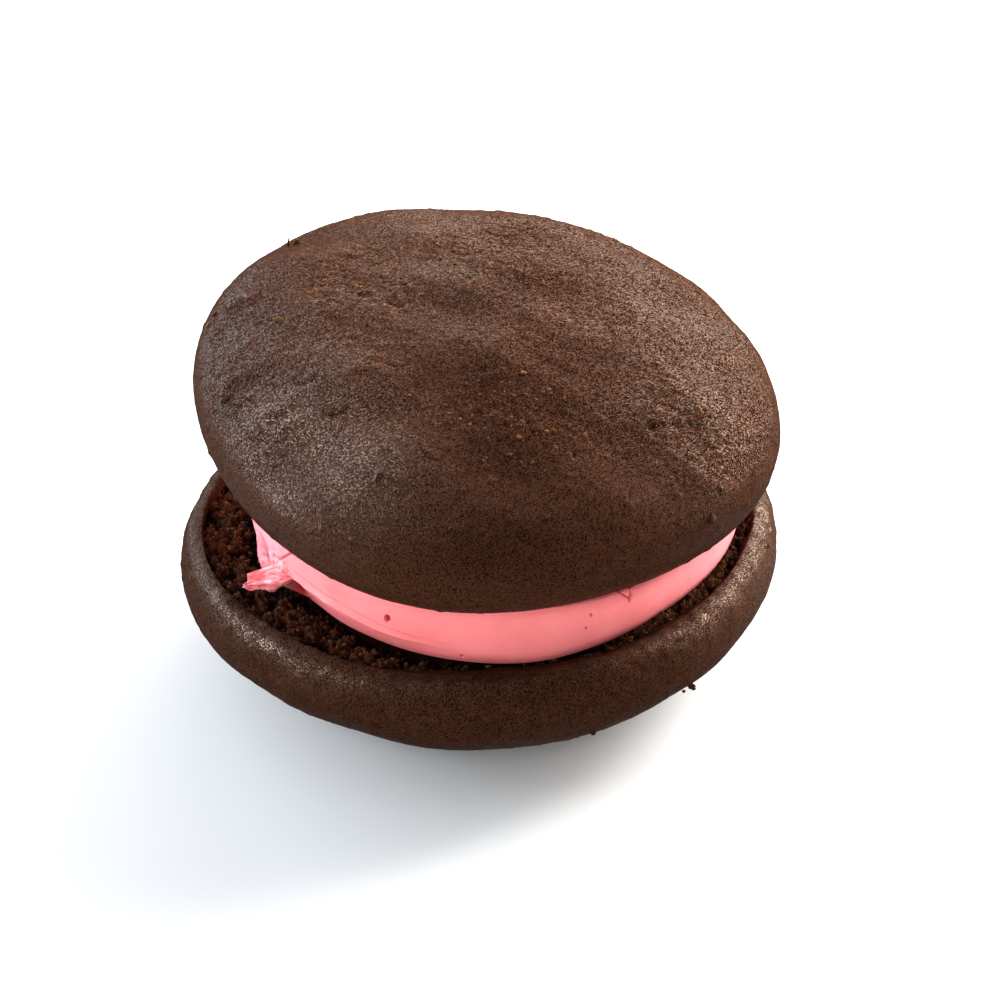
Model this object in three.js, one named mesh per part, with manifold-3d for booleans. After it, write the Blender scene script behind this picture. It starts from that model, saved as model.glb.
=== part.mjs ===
// Whoopie pie: two domed cocoa cakes with a thick layer of pink buttercream between them.
// The lower cake lies on its crown with its torn crumb face up. The upper cake leans to the front and right.
// Millimetres, +Z up, +Y away from the front. The origin is the middle of the flat spot that it rests on.
import * as THREE from "three";
import { mergeVertices } from "three/addons/utils/BufferGeometryUtils.js";
import Module from "manifold-3d";

// Driving dimensions

const GAP = 0.3; // clearance between pieces that touch
const degrees = THREE.MathUtils.degToRad;

// A lobe is a swelling of the outline that repeats `count` times round it, `depth` mm high, one of them at `at` degrees.
const LOWER = {
  radius: 47.5, // at the widest ring
  height: 22.1, // from the resting spot to the crest of the rim
  pressed: 0.8, // how much of the crown is pressed flat by the weight
  rim: 6.8, // from the widest ring to the crest
  roundness: 2.08, // power of the crown's superellipse
  lobes: [
    { count: 2, depth: 0.38, at: 45 },
    { count: 3, depth: 0.27, at: 44 },
    { count: 4, depth: 0.4, at: 8 },
  ],
  turnedOver: true,
  crumbSteps: 5,
  crags: 0.55, // height of the crumb that shows round the cream
};
const UPPER = {
  radius: 46.5,
  height: 22.5,
  pressed: 0,
  rim: 6.9,
  roundness: 2.06,
  lobes: [
    { count: 2, depth: 0.16, at: 74 },
    { count: 3, depth: 0.85, at: 10 },
    { count: 4, depth: 0.52, at: -19 },
    { count: 5, depth: 0.15, at: -24 },
  ],
  turnedOver: false,
  crumbSteps: 1,
  crags: 0,
};
const UPPER_PLACE = new THREE.Vector3(0.4, 4.2, 34.9); // middle of its crest ring
const UPPER_LEAN = { forward: degrees(5.3), right: degrees(6.9) };

const FOOT_RADIUS = 15; // of the even crust round the resting spot
const RIM_ROLL = 3.6; // how far the crest lies inside the widest ring
const LIP_DEPTH = 1.2; // how far the crumb face lies behind the crest
const CRUMB_EDGE = { radius: 42.2, stretch: 1.5 }; // the torn face is wider from left to right

// Broad swells of the baked crust: height, wavelength, direction and phase of each
const SWELLS = [
  { height: 0.25, length: 24, along: degrees(25), phase: 0.4 },
  { height: 0.2, length: 17, along: degrees(112), phase: 2.1 },
  { height: 0.15, length: 13, along: degrees(64), phase: 4.0 },
];

const CREAM = {
  radius: 38,
  shift: 1.8, // how far the outline is pushed out on one side
  shiftAt: degrees(-30),
  bulge: 1.6, // how far the side swells between the cakes
  bellyLevel: 0.45, // share of the height at which it swells most
  dent: { depth: 3.2, at: degrees(-131), width: degrees(20), top: 0.35 }, // hollow under the folded lip
};
const TAG = {
  root: new THREE.Vector3(-28, -18.8, 26), // inside the cream
  bend: new THREE.Vector3(-33.5, -19.4, 25.8),
  tip: new THREE.Vector3(-37.6, -18.4, 23.4),
  width: 5.6,
  thickness: 2,
  bluntness: 0.3, // power of its taper: the lower, the blunter the ends
  ripple: 0.5, // depth of the fold along it
};

// Small blisters and flakes of crust on the upper cake: direction from the crown, share of the way out, size
const FLAKES = { count: 18, seed: 7, least: 0.9, most: 1.9 };

const STEPS = { round: 104, crown: 15, roll: 4, lip: 2, creamSide: 14, creamRound: 88 };
const CRUMB_BAND = 9.5; // width of the craggy band; the rest is under the cream

const MATERIALS = {
  crust: new THREE.MeshStandardMaterial({ color: 0x4a3226, roughness: 0.6, metalness: 0 }),
  cream: new THREE.MeshStandardMaterial({ color: 0xf47f83, roughness: 0.45, metalness: 0 }),
};

// Small helpers

/** Repeatable numbers from 0 to 1 for a whole-number seed. */
function seeded(seed) {
  let state = seed;
  return () => {
    state = (Math.imul(state, 1664525) + 1013904223) >>> 0;
    return state / 2 ** 32;
  };
}

function smooth(share) {
  const t = THREE.MathUtils.clamp(share, 0, 1);
  return t * t * (3 - 2 * t);
}

/** How far an angle is from another, from -PI to PI. */
function turnFrom(angle, other) {
  return Math.atan2(Math.sin(angle - other), Math.cos(angle - other));
}

/** Moves every vertex of a lathe of `rows` points to place(row, angle). The lathe only gives the faces. */
function shapeLathe(rows, round, place) {
  const outline = Array.from({ length: rows }, (_, row) => new THREE.Vector2(row, row));
  const geometry = new THREE.LatheGeometry(outline, round);
  const position = geometry.getAttribute("position");
  for (let i = 0; i <= round; i++) {
    const angle = (2 * Math.PI * (i % round)) / round;
    for (let row = 0; row < rows; row++) {
      const point = place(row, angle);
      position.setXYZ(i * rows + row, point.x, point.y, point.z);
    }
  }
  return geometry;
}

// Cakes

function swell(x, y) {
  return SWELLS.reduce((sum, wave) => {
    const along = x * Math.cos(wave.along) + y * Math.sin(wave.along);
    return sum + wave.height * Math.cos((2 * Math.PI * along) / wave.length + wave.phase);
  }, 0);
}

function outlineFactor(cake, angle) {
  const lobes = cake.lobes.map((l) => l.depth * Math.cos(l.count * (angle - degrees(l.at))));
  return 1 + lobes.reduce((sum, depth) => sum + depth, 0) / cake.radius;
}

function crumbRadius(angle) {
  return CRUMB_EDGE.radius + CRUMB_EDGE.stretch * Math.cos(2 * angle);
}

/** The section of a cake, from the crown on its axis, over the widest ring and the crest, to the middle of the crumb face. */
function cakeSection(cake, angle) {
  const rise = cake.height + cake.pressed - cake.rim;
  const power = 2 / cake.roundness;
  const crest = cake.radius - RIM_ROLL;
  const edge = Math.min(crumbRadius(angle), crest - 0.4);
  const points = [];
  for (let i = 0; i <= STEPS.crown; i++) {
    const a = (Math.PI / 2) * (1 - i / STEPS.crown);
    const r = i === 0 ? 0 : cake.radius * Math.cos(a) ** power;
    points.push({ r, z: cake.rim + rise * Math.sin(a) ** power, part: "crown" });
  }
  for (let i = 1; i <= STEPS.roll; i++) {
    const a = (Math.PI / 2) * (i / STEPS.roll);
    points.push({ r: crest + RIM_ROLL * Math.cos(a), z: cake.rim * (1 - Math.sin(a)), part: "roll" });
  }
  for (let i = 1; i <= STEPS.lip; i++) {
    const share = i / STEPS.lip;
    points.push({ r: crest + (edge - crest) * share, z: LIP_DEPTH * smooth(share), part: "lip" });
  }
  for (let i = 1; i <= cake.crumbSteps; i++) {
    points.push({ r: edge - (CRUMB_BAND * i) / cake.crumbSteps, z: LIP_DEPTH, part: "crumb" });
  }
  points.push({ r: 0, z: LIP_DEPTH, part: "middle" });
  return points;
}

function cakeGeometry(cake) {
  const random = seeded(11);
  const rows = cakeSection(cake, 0).length;
  const crag = Array.from({ length: STEPS.round * rows }, () => (random() - 0.6) * 2 * cake.crags);
  return shapeLathe(rows, STEPS.round, (step, angle) => {
    // A lathe faces out when its outline climbs, so an upright cake is read from its crumb face to its crown.
    const row = cake.turnedOver ? step : rows - 1 - step;
    const { r, z, part } = cakeSection(cake, angle)[row];
    const radius = r * outlineFactor(cake, angle);
    const x = radius * Math.cos(angle);
    const y = radius * Math.sin(angle);
    let up = z;
    if (part === "crown") {
      const foot = cake.turnedOver ? smooth((radius - FOOT_RADIUS) / 8) : 1;
      up += swell(x, y) * foot * smooth((z - cake.rim) / (0.3 * cake.height));
    }
    if (part === "crumb") {
      const open = smooth((radius - creamRadius(0, angle) - 0.3) / 1.5); // the cream presses the crumb flat
      up += open * crag[Math.round((angle / (2 * Math.PI)) * STEPS.round) * rows + row];
    }
    return new THREE.Vector3(x, y, cake.turnedOver ? Math.max(0, cake.height - up) : up);
  });
}

// Cream

const upperTurn = new THREE.Matrix4().makeRotationFromEuler(
  new THREE.Euler(UPPER_LEAN.forward, UPPER_LEAN.right, 0, "YXZ"),
);

/** Height of the cream's top under the leaning upper cake: it fills the hollow face and dips under the crest. */
function creamCeiling(x, y) {
  const dx = x - UPPER_PLACE.x;
  const dy = y - UPPER_PLACE.y;
  const beforeLip = crumbRadius(Math.atan2(dy, dx)) - Math.hypot(dx, dy);
  const recess = LIP_DEPTH * smooth((beforeLip - 0.8) / 2.4) - GAP;
  const normal = new THREE.Vector3(0, 0, 1).applyMatrix4(upperTurn);
  return UPPER_PLACE.z + (recess - normal.x * dx - normal.y * dy) / normal.z;
}

const creamFloor = LOWER.height - LIP_DEPTH + GAP;

/** Distance of the cream's side from the axis, at a share of its height. */
function creamRadius(level, angle) {
  const outline = CREAM.radius + CREAM.shift * Math.cos(turnFrom(angle, CREAM.shiftAt));
  const belly = level < CREAM.bellyLevel ? level / CREAM.bellyLevel : (1 - level) / (1 - CREAM.bellyLevel);
  const swelling = CREAM.bulge * (Math.sqrt(1 - (1 - belly) ** 2) - 1);
  const turn = turnFrom(angle, CREAM.dent.at) / CREAM.dent.width;
  const hollow = CREAM.dent.depth * Math.exp(-turn * turn) * (1 - smooth(level / CREAM.dent.top));
  return outline + swelling - hollow;
}

function creamBody() {
  const rows = STEPS.creamSide + 3;
  return shapeLathe(rows, STEPS.creamRound, (row, angle) => {
    const onAxis = row === 0 || row === rows - 1;
    const level = THREE.MathUtils.clamp((row - 1) / STEPS.creamSide, 0, 1);
    const radius = onAxis ? 0 : creamRadius(level, angle);
    const x = radius * Math.cos(angle);
    const y = radius * Math.sin(angle);
    return new THREE.Vector3(x, y, creamFloor + level * (creamCeiling(x, y) - creamFloor));
  });
}

/** A torn tongue of cream: a ball drawn out along a curve, flattened, and folded along its length. */
function creamTag() {
  const path = new THREE.QuadraticBezierCurve3(TAG.root, TAG.bend, TAG.tip);
  const geometry = new THREE.SphereGeometry(1, 14, 10);
  const position = geometry.getAttribute("position");
  const ball = new THREE.Vector3();
  for (let i = 0; i < position.count; i++) {
    ball.fromBufferAttribute(position, i);
    const along = (1 - ball.y) / 2; // the poles are the root and the tip
    const ring = Math.hypot(ball.x, ball.z);
    const girth = ring ** TAG.bluntness;
    const side = ring > 0 ? (ball.z / ring) * girth : 0;
    const up = ring > 0 ? (ball.x / ring) * girth : 0;
    const fold = TAG.ripple * Math.cos(Math.PI * 1.5 * side) * girth;
    const middle = path.getPoint(along);
    position.setXYZ(i, middle.x, middle.y + (side * TAG.width) / 2, middle.z + (up * TAG.thickness) / 2 + fold);
  }
  return geometry;
}

// Joining

const wasm = await Module();
wasm.setup();

/** A closed geometry as a solid, with its shared vertices merged. */
function solid(geometry) {
  const bare = geometry.clone();
  bare.deleteAttribute("normal");
  bare.deleteAttribute("uv");
  const merged = mergeVertices(bare, 1e-4);
  return new wasm.Manifold(
    new wasm.Mesh({
      numProp: 3,
      vertProperties: new Float32Array(merged.getAttribute("position").array),
      triVerts: new Uint32Array(merged.index.array),
    }),
  );
}

function geometryOf(made) {
  const { vertProperties, triVerts } = made.getMesh();
  const geometry = new THREE.BufferGeometry();
  geometry.setAttribute("position", new THREE.BufferAttribute(vertProperties, 3));
  geometry.setIndex(new THREE.BufferAttribute(triVerts, 1));
  geometry.computeVertexNormals();
  return geometry;
}

/** Blisters and flakes of crust, sunk into the crown at seeded places. */
function crustFlakes(cake) {
  const random = seeded(FLAKES.seed);
  return Array.from({ length: FLAKES.count }, () => {
    const angle = 2 * Math.PI * random();
    const out = cake.radius * (0.15 + 0.75 * Math.sqrt(random()));
    const size = FLAKES.least + (FLAKES.most - FLAKES.least) * random();
    const x = out * Math.cos(angle);
    const y = out * Math.sin(angle);
    const share = (out / cake.radius) ** cake.roundness;
    const z = cake.rim + (cake.height - cake.rim) * (1 - share) ** (1 / cake.roundness);
    const flake = new THREE.IcosahedronGeometry(1, 0);
    flake.scale(size, size * 0.55, size * 0.35);
    flake.rotateZ(Math.PI * random());
    flake.translate(x, y, z + swell(x, y));
    return flake;
  });
}

// Assembly

function piece(name, geometry, material) {
  const mesh = new THREE.Mesh(geometry, material);
  mesh.name = name;
  return mesh;
}

const pie = new THREE.Group();

pie.add(piece("lower_cake", cakeGeometry(LOWER), MATERIALS.crust));

const filling = solid(creamBody()).add(solid(creamTag()));
pie.add(piece("cream_filling", geometryOf(filling), MATERIALS.cream));

const dome = crustFlakes(UPPER).reduce((made, flake) => made.add(solid(flake)), solid(cakeGeometry(UPPER)));
const upperCake = piece("upper_cake", geometryOf(dome), MATERIALS.crust);
upperCake.position.copy(UPPER_PLACE);
upperCake.rotation.set(UPPER_LEAN.forward, UPPER_LEAN.right, 0, "YXZ");
pie.add(upperCake);

export default pie;
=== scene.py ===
"""Whoopie pie: two cocoa cakes with pink buttercream between them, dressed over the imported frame.

Laid out as an add-on and run as a script. Property groups hold the sizes and colours, each piece has its
operator, and the panel lists them. The shape functions work in millimetres, and put_mesh turns their result
into metres.
"""

import math

import bpy
import numpy as np
from bpy.props import FloatProperty, FloatVectorProperty, IntProperty, PointerProperty
from mathutils import Matrix, Vector


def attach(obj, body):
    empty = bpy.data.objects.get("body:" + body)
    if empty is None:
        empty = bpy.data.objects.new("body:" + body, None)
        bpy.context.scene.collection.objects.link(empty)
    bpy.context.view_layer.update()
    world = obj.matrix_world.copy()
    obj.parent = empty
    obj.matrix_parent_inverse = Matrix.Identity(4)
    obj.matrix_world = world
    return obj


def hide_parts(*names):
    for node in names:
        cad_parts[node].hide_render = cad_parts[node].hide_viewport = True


bl_info = {
    "name": "Whoopie Pie",
    "version": (1, 0, 0),
    "blender": (4, 5, 0),
    "location": "View3D > Sidebar > Whoopie Pie",
    "description": "Builds two cocoa cakes with pink buttercream over the packed frame",
    "category": "Object",
}

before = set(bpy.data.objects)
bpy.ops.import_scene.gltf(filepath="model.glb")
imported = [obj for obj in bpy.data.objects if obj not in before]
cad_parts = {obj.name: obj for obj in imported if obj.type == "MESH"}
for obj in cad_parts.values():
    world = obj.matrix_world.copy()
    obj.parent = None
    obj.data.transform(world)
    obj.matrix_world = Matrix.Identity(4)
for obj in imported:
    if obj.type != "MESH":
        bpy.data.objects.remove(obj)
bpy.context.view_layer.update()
MM = 0.001

# Lobes of each cake's outline: how many round it, how deep in mm, and the angle of one in degrees
LOWER_LOBES = ((2, 0.38, 45), (3, 0.27, 44), (4, 0.4, 8))
UPPER_LOBES = ((2, 0.16, 74), (3, 0.85, 10), (4, 0.52, -19), (5, 0.15, -24))

# Broad swells of the crust: height and wavelength in mm, direction in degrees, phase
SWELLS = ((0.25, 24, 25, 0.4), (0.2, 17, 112, 2.1), (0.15, 13, 64, 4.0))

# Grid rings spent on a cake's crown, rolled rim, lip and crumb face
UPPER_RINGS = (130, 16, 6, 4)
LOWER_RINGS = (62, 26, 16, 46)

# Places on the upper crust, in mm from its axis
# Loose flakes as x, y, length, width, height, turn in degrees and tint
CRUST_FLAKES = (
    (-33.1, 1.7, 1.3, 0.42, 0.4, 6, 0.9),
    (-44.0, 8.6, 0.9, 0.3, 0.35, 63, 0.92),
    (-43.2, 10.4, 0.7, 0.3, 0.35, 60, 0.8),
    (-42.2, 12.4, 0.8, 0.3, 0.35, 66, 0.85),
    (-42.3, -12.8, 0.5, 0.3, 0.3, 40, 0.9),
    (-32.3, 28.3, 0.35, 0.3, 1.4, 0, 0.45),
    (-31.0, 28.0, 0.6, 0.4, 1.1, 20, 0.6),
    (34.6, -29.2, 1.1, 0.65, 0.6, 95, 0.6),
    (-15.4, 5.6, 0.5, 0.35, 0.3, 20, 0.6),
    (-8.2, 16.8, 0.6, 0.35, 0.35, 70, 0.5),
    (4.6, -12.5, 0.5, 0.4, 0.3, 0, 0.95),
)
# Raised lips as x, y, length and turn in degrees
CRUST_LIPS = (
    (-36.8, -13.3, 1.5, 60),
    (-31.5, -22.6, 1.7, 65),
    (-16.8, -33.5, 1.6, 60),
    (-40.5, -11.8, 1.3, 35),
)
# Low folds as x, y, half length, turn in degrees and height
CRUST_FOLDS = (
    (-38.5, -10.1, 5.0, 19, 0.5),
    (-32.3, -19.4, 4.5, 41, 0.45),
    (-18.2, -10.3, 5.0, 51, 0.4),
    (-17.9, -14.2, 2.4, -18, 0.5),
    (-37.6, 9.1, 2.0, 16, 0.4),
    (-11.4, 17.3, 2.2, 68, 0.35),
    (23.7, 21.6, 8.0, -65, -0.4),
    (10.0, -9.0, 5.0, -30, 0.3),
    (28.0, -6.0, 5.0, -60, -0.3),
)
# Smooth blisters as x, y, radius and height
CRUST_BLISTERS = (
    (-11.3, 10.1, 1.3, 0.35),
    (-16.6, -15.8, 1.6, 0.3),
    (34.8, -18.5, 2.5, 0.25),
    (7.7, 3.2, 3.0, 0.3),
)
# Glossy patches as x, y, radius and strength
GLOSSY_PATCHES = (
    (-33.0, -12.0, 10.0, 0.22),
    (-30.5, -21.5, 8.0, 0.7),
    (-24.0, -31.0, 10.5, 0.78),
    (-33.0, -27.0, 7.0, 0.25),
    (-28.0, -8.0, 9.0, 0.25),
    (-10.0, 2.0, 10.0, 0.12),
    (30.0, 1.0, 13.0, 0.3),
    (31.0, -15.0, 9.0, 0.6),
    (20.0, -20.0, 6.0, 0.25),
    (24.0, 17.0, 8.0, 0.2),
    (33.0, -25.0, 9.0, 0.35),
    (-36.8, -13.3, 0.8, 1.0),
    (-31.5, -22.6, 0.8, 1.0),
    (-16.8, -33.5, 0.8, 1.0),
)
# Darker patches as x, y, radius and strength
DARK_PATCHES = (
    (-10.2, -13.4, 5.0, 0.45),
    (-0.9, -19.0, 8.0, 0.9),
    (2.0, -30.0, 10.0, 0.5),
    (23.4, -19.1, 4.0, 0.7),
    (31.7, -16.1, 3.0, 0.6),
    (4.4, 13.1, 4.0, 0.6),
    (14.7, 20.1, 4.0, 0.5),
    (3.9, 1.1, 2.0, 0.7),
    (-40.0, -13.5, 3.0, 0.6),
    (10.0, -17.0, 10.0, 0.8),
    (18.0, -29.0, 7.0, 0.3),
    (0.5, 12.0, 8.0, 0.6),
    (-4.0, 4.0, 8.0, 0.5),
    (-1.0, -21.0, 12.0, 0.6),
    (2.0, -41.0, 13.0, 0.3),
)
# Curved wrinkles, open to the back, as x, y and radius
CRUST_WRINKLES = (
    (-28.8, -12.3, 1.9),
    (-14.5, 4.6, 1.8),
    (-14.6, -10.4, 1.8),
    (-4.5, 20.2, 1.9),
    (-4.5, -5.4, 1.7),
    (-24.0, -19.6, 1.9),
    (-8.6, -29.4, 1.9),
)
# Open pits as x, y, radius and depth
CRUST_PITS = (
    (24.8, -18.9, 0.75, 0.7),
    (26.6, -18.2, 0.5, 0.3),
    (28.4, -17.4, 0.6, 0.35),
    (30.6, -16.6, 0.5, 0.3),
    (12.6, -27.6, 0.5, 0.4),
    (-39.3, 8.6, 1.3, 0.25),
    (-20.6, 6.2, 0.7, 0.3),
)
# Crumbly, worn patches as x, y, radius and strength
WORN_PATCHES = (
    (-21.5, 8.5, 13.0, 0.9),
    (4.0, 19.0, 15.0, 1.0),
    (4.2, -22.0, 10.0, 0.9),
    (-14.0, -21.0, 7.0, 0.45),
    (14.0, 8.0, 10.0, 0.5),
)
BACK_RIDGE = (36.7, 51, 24)  # radius in mm, middle and half spread in degrees

# Heights, depths and widths in mm of the crust's marks and relief
LIP_HEIGHT = 0.6
LIP_WIDTH = 0.42
FOLD_WIDTH = 1.8
WRINKLE_DEPTH = 0.15
WRINKLE_WIDTH = 0.27
RIDGE_HEIGHT = 0.35
RIDGE_DROP = 0.2
WAVE_HEIGHT = 0.10
BLISTER_HEIGHT = 0.16
PORE_DEPTH = 0.19
ROUGH_HEIGHT = 0.12
CROWN_FADE = 0.3  # share of the cake's height over which relief fades out towards the widest ring

# Sheens on the lower rim: direction and spread in degrees, inset and width in mm, strength
RIM_SHEENS = ((-134, 26, 1.3, 0.7, 0.95), (-36, 17, 2.6, 0.9, 2.2))
SIDE_SHEEN = (-4, 20, 1.15)  # direction and spread in degrees, strength
RIM_CRACK = (-151, 9, 1.4, 0.4)  # direction and spread in degrees, width and depth in mm
RIM_LUMPS = (0.22, 0.13)  # height in mm of the lower rim's broad and fine lumps
# Painted shade over the lower rim: how dark it is, and the lit side where it is taken off: direction and
# spread in degrees, strength
RIM_PAINTED_SHADE = 0.35
RIM_LIT = (0, 45, 1.8)
# The rim's shaded inside at the front: direction and spread in degrees, start and width in mm, strength
RIM_SHADE = (-86, 24, 1.8, 1.4, 0.8)
# Dip of the crumb along the cream's foot: depth, distance out and width in mm,
# and where it rises instead: direction and spread in degrees, height
FOOT_DIP = (0.6, 0.4, 1.8)
FOOT_RISE = (-32, 34, 1.1)

EDGE_RING = 40.0  # radius in mm of the ring on which the torn edge's raggedness is worked out
EDGE_RAGGED = 0.35  # and how far it goes in and out, in mm
# Edge of the torn crumb on the lower cake: angle in degrees and radius in mm
TORN_EDGE = (
    (-170, 43.6), (-156, 43.2), (-148, 42.5), (-135, 43.1), (-125, 43.5), (-118, 43.3),
    (-111, 42.0), (-105, 40.6), (-98, 39.5), (-92, 38.8), (-80, 38.7), (-73, 39.4),
    (-64, 40.7), (-44, 41.3), (-36, 42.2), (-27, 42.7), (-12, 42.7), (-5, 43.0),
    (35, 42.4), (75, 41.0), (110, 41.2), (145, 41.8), (172, 43.2),
)

# Crumbs on the outside of the lower cake: angle in degrees, height, distance out and size in mm, and tint
RIM_CRUMBS = (
    (-44.5, 10.4, 45.3, 0.6, 0.35),
    (-43.7, 9.4, 45.0, 0.35, 0.25),
    (-46.6, 10.2, 45.1, 0.3, 0.4),
    (-68.5, 9.9, 45.5, 0.55, 0.45),
    (-9.5, 19.6, 46.5, 0.3, 1.0),
)

CREAM_SHIFT = (1.8, -30)  # how far in mm and which way in degrees the cream is pushed out
CREAM_RING = 38.0  # radius in mm on which lengths round the cream's side are counted
CREAM_GRID = (90, 1060)  # points up the side and round it
TONGUE_GRID = (64, 44)  # points along the tongue and across its top
# How far the cream's foot spreads out, or draws in under the fold: angle in degrees and mm
FOOT_SPREAD = (
    (-180, 0.2), (-170, 0.3), (-160, 0.9), (-154, 0.6), (-147, -1.8), (-140, -2.6),
    (-133, -2.2), (-126, -1.6), (-119, -1.3), (-107, -0.2), (-97, 0.6), (-86, 1.5),
    (-77, 1.9), (-62, 0.9), (-47, 0.1), (-34, 0.4), (-23, 1.2), (-15, 1.6),
    (-6, 2.4), (20, 1.0), (60, 0.0), (150, 0.0),
)
# Ridge of the front fold: angle in degrees and share of the height
FOLD_RIDGE = (
    (-150, 0.36), (-139, 0.40), (-134, 0.42), (-128, 0.41), (-122, 0.38), (-116, 0.33),
    (-111, 0.28), (-103, 0.26), (-95, 0.24),
)
# Grooves that run up the side as angle, spread in degrees, depth in mm, lowest and highest level
CREAM_GROOVES = (
    (-162.0, 1.1, 0.7, 0.3, 0.85),
    (-156.5, 3.0, 1.0, 0.05, 0.5),
    (-149.3, 1.0, -0.5, 0.05, 0.5),
    (-143.5, 2.2, 1.3, -0.2, 0.38),
)
# Short cuts as start angle and height, end angle and height, and depth in mm
CREAM_CUTS = (
    (-146.5, 28.4, -141.3, 31.4, 0.6),
    (-144.5, 26.9, -142.0, 26.3, 0.5),
    (-53.0, 29.9, -53.8, 28.0, 0.5),
    (-53.8, 28.0, -54.8, 27.2, 0.5),
    (-57.2, 29.1, -54.8, 27.6, 0.3),
    (-160.0, 30.4, -159.4, 28.2, 0.5),
)
# Bubble pits as angle, height, radius and depth in mm
CREAM_PITS = (
    (-111.9, 27.4, 0.82, 0.4),
    (-64.7, 27.1, 0.32, 0.5),
    (-66.2, 25.2, 0.28, 0.4),
    (-94.5, 22.6, 0.32, 0.4),
)
PIT_NARROWING = 1.35  # how much higher than wide they are
CUT_WIDTH = 0.17  # half width in mm of a cut's groove, and of its red bottom
CUT_BOTTOM = 0.15
# The left wall: direction and spread in degrees, slant in mm, level where it starts to lean out, most lean
LEFT_WALL = (-177, 17, 2.8, 0.42, 2.2)
# Red crease shade painted at the foot and under the fold, as direction and spread in degrees, strength,
# highest level and fade
CREAM_CREASES = ((-156.5, 2.6, 0.6, 0.5, 0.2), (-143.5, 5, 1.0, 0.38, 0.1))
# The crumpled place beside the tongue: direction and spread in degrees, height, spread and relief in mm
CRUMPLED = (-147, 5, 27.3, 2.2, 0.45)
# The torn side behind the tongue: direction and spread in degrees, highest level, fade and relief in mm
TORN_SIDE = (-163, 9, 0.75, 0.3, 0.16)
# The front fold: direction and spread in degrees, then its beads and the hollow between them
# as level above the ridge, height in mm and width in levels
FOLD_FRONT = (-124, 17)
FOLD_BEADS = ((0, 0.42, 0.016), (0.13, 0.2, 0.015))
FOLD_HOLLOW = (0.08, 0.2, 0.03)
# Torn tongue of cream at the left: rows of points in mm across its top from back to front,
# from inside the cream to its tip
TONGUE_NET = (
    (
        (-28.5, -20.4, 28.0), (-28.5, -20.8, 26.9), (-28.4, -21.0, 26.2),
        (-28.5, -21.2, 25.9), (-28.4, -20.8, 25.4),
    ),
    (
        (-30.5, -20.7, 27.4), (-30.5, -21.0, 26.4), (-30.4, -21.0, 25.6),
        (-30.5, -21.6, 25.2), (-30.3, -20.8, 24.3),
    ),
    (
        (-32.0, -19.2, 26.8), (-31.9, -19.5, 25.8), (-31.8, -19.8, 24.9),
        (-31.9, -21.6, 24.9), (-31.7, -20.9, 22.8),
    ),
    (
        (-33.3, -17.9, 25.4), (-33.4, -18.3, 24.7), (-33.4, -18.9, 23.9),
        (-33.3, -21.0, 24.5), (-33.4, -20.5, 22.6),
    ),
    (
        (-34.8, -17.8, 24.8), (-34.8, -18.3, 24.4), (-34.8, -18.9, 23.6),
        (-34.7, -20.5, 24.1), (-34.8, -20.0, 22.6),
    ),
    (
        (-36.5, -18.1, 24.4), (-36.1, -18.6, 24.1), (-35.9, -19.0, 23.5),
        (-36.6, -20.1, 23.7), (-36.7, -19.9, 22.9),
    ),
)

# Painted light on the cream, paler where the left and right lamps fall: direction and spread in degrees, and
# strength; and the tongue's strength
CREAM_PAINTED_LIGHT = ((-154, 12, 1.0), (-28, 16, 0.35))
TONGUE_PAINTED_LIGHT = 0.28
# Columns of the cream's grid: share of them and angle in degrees that they reach, closest at the front
CREAM_COLUMNS = ((0, -180), (0.0116, -172), (0.7267, -8), (1, 180))

LUMP_JITTER = 0.45  # share by which a lump's points go in and out
LUMP_STRETCH = (0.7, 1.3)  # least and greatest stretch of a lump
SPECK_REACH = 42.0  # distance in mm from the upper cake's axis within which specks lie
SPECK_TRIES = 12  # places tried for each speck

SECTION_STEPS = 4001  # points along a crown's curve, from which even steps are taken
LEAST_LIP = 0.4  # least width in mm of the lip between crest and crumb
RING_AVERAGE = (-4, -2, 0, 2, 4)  # degrees over which a table round a ring is averaged

# Odd factors and shifts that mix a cell's coordinates into a random number
HASH_AXES = (0x8DA6B343, 0xD8163841, 0xCB1AB31F)
HASH_SEED = 0x9E3779B9
HASH_ROUNDS = ((15, 0x2C1B3C6D), (12, 0x297A2D39))
HASH_LAST_SHIFT = 15

# Lamps as the name of their power, place and width and height in metres, colour,
# and whether they light surfaces and show in their gloss
WHITE = (1, 1, 1)
COOL = (0.84, 0.92, 1)
LAMPS = (
    ("right", (0.85, 0.85, 0.48), 0.9, 0.7, WHITE, True, False),
    ("back", (0.55, 0.95, 0.5), 1.7, 1.2, (1, 0.92, 0.79), True, True),
    ("back_left", (-0.85, 0.95, 0.5), 1.1, 1.2, COOL, True, True),
    ("left", (-1.2, 0.05, 0.46), 0.9, 0.8, COOL, True, True),
    ("glint", (1.1, 0.58, 0.32), 0.6, 0.5, (1, 0.82, 0.7), True, True),
    ("sheen", (-0.2, 0.06, 1.17), 0.9, 0.8, COOL, False, True),
    ("front", (-0.3, -1.2, 0.7), 0.9, 0.9, WHITE, True, False),
)
FLOOR_REACH = 6000  # half the floor's width in mm
FLOOR_POINTS = 5  # points along each side of it
SENSOR_MM = 36
CLIP_START = 0.01  # metres


# Properties


def size_property(name, description, default):
    """A size in metres."""
    return FloatProperty(name=name, description=description, default=default, unit="LENGTH")


def place_property(name, description, default):
    """A place in metres."""
    return FloatVectorProperty(name=name, description=description, default=default, subtype="TRANSLATION")


def angle_property(name, description, degrees):
    """An angle, whose default is given in degrees."""
    return FloatProperty(name=name, description=description, default=math.radians(degrees), subtype="ANGLE")


def number_property(name, description, default):
    """A plain number."""
    return FloatProperty(name=name, description=description, default=default)


def power_property(name, default):
    """A lamp's power."""
    return FloatProperty(name=name, description="Power in watts", default=default)


def colour_property(name, description, default):
    """A colour in linear light."""
    return FloatVectorProperty(name=name, description=description, default=default, subtype="COLOR")


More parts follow.
